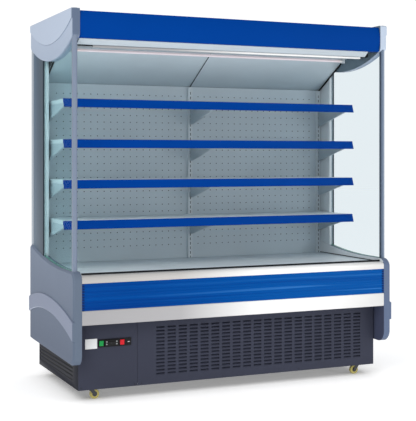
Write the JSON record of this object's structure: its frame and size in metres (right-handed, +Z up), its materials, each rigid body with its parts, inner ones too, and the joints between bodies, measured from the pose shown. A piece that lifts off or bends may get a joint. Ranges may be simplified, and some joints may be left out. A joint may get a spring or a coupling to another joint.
{
  "type": "open multideck display fridge",
  "caption": "Tall open-front refrigerated cabinet with a canopy, glazed sides, tilted-edge shelves, a deep deck, a ribbed bumper, a louvred plinth and swivel castors.",
  "frame": {"origin": "on the floor, at the middle of the cabinet's plan", "axes": "+X to the shopper's right, +Y from the open front to the back, +Z up"},
  "size_m": [1.884, 0.87, 2],
  "materials": {
    "base_steel": "zinc-plated sheet",
    "plinth": "satin powder coat",
    "inner_white": "smooth white coat",
    "foam_panel": "coated sheet over foam",
    "fascia_blue": "satin blue",
    "housing_white": "smooth white coat",
    "tube_glass": "frosted",
    "honeycomb_black": "matt",
    "shelf_white": "smooth white coat",
    "strip_blue": "satin blue",
    "grille_black": "matt",
    "silver": "anodised",
    "bumper_blue": "ribbed satin",
    "end_grey": "smooth",
    "cap_grey": "smooth",
    "post_grey": "coated",
    "column_grey": "satin",
    "side_glass": "clear with a slight tint",
    "curtain_cloth": "woven",
    "bezel_black": "matt",
    "rocker_green": "gloss",
    "rocker_red": "gloss",
    "compressor_black": "gloss",
    "coil": "bare fins",
    "fan_plastic": "matt",
    "copper": "bare copper",
    "fork_black": "satin",
    "wheel_yellow": "moulded"
  },
  "bodies": {
    "cabinet": {"base_frame": "base_steel", "side_base_panels": "plinth", "control_panel": "plinth", "front_grille": "plinth", "rear_cover": "plinth", "insulated_tub": "inner_white", "insulated_back": "foam_panel", "canopy_roof": "foam_panel", "canopy_fascia": "fascia_blue", "lamp_housing": "housing_white", "lamp_tube": "tube_glass", "lamp_batten": "housing_white", "air_honeycomb": "honeycomb_black", "upper_duct_panel": "inner_white", "back_panels": "inner_white", "shelf_uprights": "inner_white", "shelf_1": "shelf_white", "shelf_2": "shelf_white", "shelf_3": "shelf_white", "shelf_4": "shelf_white", "price_strips": "strip_blue", "shelf_brackets": "shelf_white", "deck_pans": "shelf_white", "return_air_grille": "grille_black", "bumper_top_rail": "silver", "bumper_strip": "bumper_blue", "front_panel": "silver", "end_panel_left": "end_grey", "end_panel_right": "end_grey", "top_cap_left": "cap_grey", "top_cap_right": "cap_grey", "front_posts": "post_grey", "rear_columns": "column_grey", "side_glass": "side_glass", "curtain_cassette": "housing_white", "control_bezel": "bezel_black", "temperature_controller": "bezel_black", "compressor": "compressor_black", "condenser_coil": "coil", "condenser_shroud": "base_steel", "evaporator_coil": "coil", "evaporator_fan_plate": "base_steel", "refrigerant_pipes": "copper", "cable_gland": "grille_black"},
    "curtain_bar": {"curtain_bar": "silver", "curtain_fabric": "curtain_cloth"},
    "curtain_roller": {"curtain_roller": "curtain_cloth"},
    "switch_green": {"switch_green": "rocker_green"},
    "switch_red": {"switch_red": "rocker_red"},
    "condenser_fan": {"condenser_fan": "fan_plastic"},
    "evaporator_fan_left": {"evaporator_fan_left": "fan_plastic"},
    "evaporator_fan_right": {"evaporator_fan_right": "fan_plastic"},
    "castor_front_left": {"castor_fork_front_left": "fork_black"},
    "wheel_front_left": {"castor_wheel_front_left": "wheel_yellow"},
    "castor_front_right": {"castor_fork_front_right": "fork_black"},
    "wheel_front_right": {"castor_wheel_front_right": "wheel_yellow"},
    "castor_rear_left": {"castor_fork_rear_left": "fork_black"},
    "wheel_rear_left": {"castor_wheel_rear_left": "wheel_yellow"},
    "castor_rear_right": {"castor_fork_rear_right": "fork_black"},
    "wheel_rear_right": {"castor_wheel_rear_right": "wheel_yellow"}
  },
  "joints": [
    {"name": "castor_swivel_front_left", "type": "hinge", "parent": "cabinet", "child": "castor_front_left", "pos_m": [-0.805, -0.287, 0.0625], "axis": [0, 0, 1], "continuous": true},
    {"name": "wheel_spin_front_left", "type": "hinge", "parent": "castor_front_left", "child": "wheel_front_left", "pos_m": [-0.78, -0.287, 0.025], "axis": [0, 1, 0], "continuous": true},
    {"name": "castor_swivel_front_right", "type": "hinge", "parent": "cabinet", "child": "castor_front_right", "pos_m": [0.805, -0.287, 0.0625], "axis": [0, 0, 1], "continuous": true},
    {"name": "wheel_spin_front_right", "type": "hinge", "parent": "castor_front_right", "child": "wheel_front_right", "pos_m": [0.78, -0.287, 0.025], "axis": [0, 1, 0], "continuous": true},
    {"name": "castor_swivel_rear_left", "type": "hinge", "parent": "cabinet", "child": "castor_rear_left", "pos_m": [-0.805, 0.368, 0.0625], "axis": [0, 0, 1], "continuous": true},
    {"name": "wheel_spin_rear_left", "type": "hinge", "parent": "castor_rear_left", "child": "wheel_rear_left", "pos_m": [-0.78, 0.368, 0.025], "axis": [0, 1, 0], "continuous": true},
    {"name": "castor_swivel_rear_right", "type": "hinge", "parent": "cabinet", "child": "castor_rear_right", "pos_m": [0.805, 0.368, 0.0625], "axis": [0, 0, 1], "continuous": true},
    {"name": "wheel_spin_rear_right", "type": "hinge", "parent": "castor_rear_right", "child": "wheel_rear_right", "pos_m": [0.78, 0.368, 0.025], "axis": [0, 1, 0], "continuous": true},
    {"name": "rocker_green", "type": "hinge", "parent": "cabinet", "child": "switch_green", "pos_m": [-0.7595, -0.34, 0.292], "axis": [1, 0, 0], "range_deg": [-14, 0]},
    {"name": "rocker_red", "type": "hinge", "parent": "cabinet", "child": "switch_red", "pos_m": [-0.647, -0.34, 0.292], "axis": [1, 0, 0], "range_deg": [-14, 0]},
    {"name": "condenser_fan_spin", "type": "hinge", "parent": "cabinet", "child": "condenser_fan", "pos_m": [-0.13, -0.2156, 0.232], "axis": [0, 1, 0], "continuous": true},
    {"name": "evaporator_fan_spin_left", "type": "hinge", "parent": "cabinet", "child": "evaporator_fan_left", "pos_m": [-0.44, -0.0646, 0.543], "axis": [0, 1, 0], "continuous": true},
    {"name": "evaporator_fan_spin_right", "type": "hinge", "parent": "cabinet", "child": "evaporator_fan_right", "pos_m": [0.44, -0.0646, 0.543], "axis": [0, 1, 0], "continuous": true},
    {"name": "curtain_pull", "type": "slide", "parent": "cabinet", "child": "curtain_bar", "axis": [0, 0, -1], "range_m": [0, 1.128], "stiffness_N_per_m": 10, "springref_m": -2, "deforming": ["curtain_fabric"]},
    {"name": "roller_turn", "type": "hinge", "parent": "cabinet", "child": "curtain_roller", "pos_m": [0, -0.2995, 1.88], "axis": [1, 0, 0], "range_deg": [-1, 2800]}
  ],
  "couplings": [
    {"joint": "roller_turn", "follows": "curtain_pull", "rad_per_m": 43.103}
  ]
}
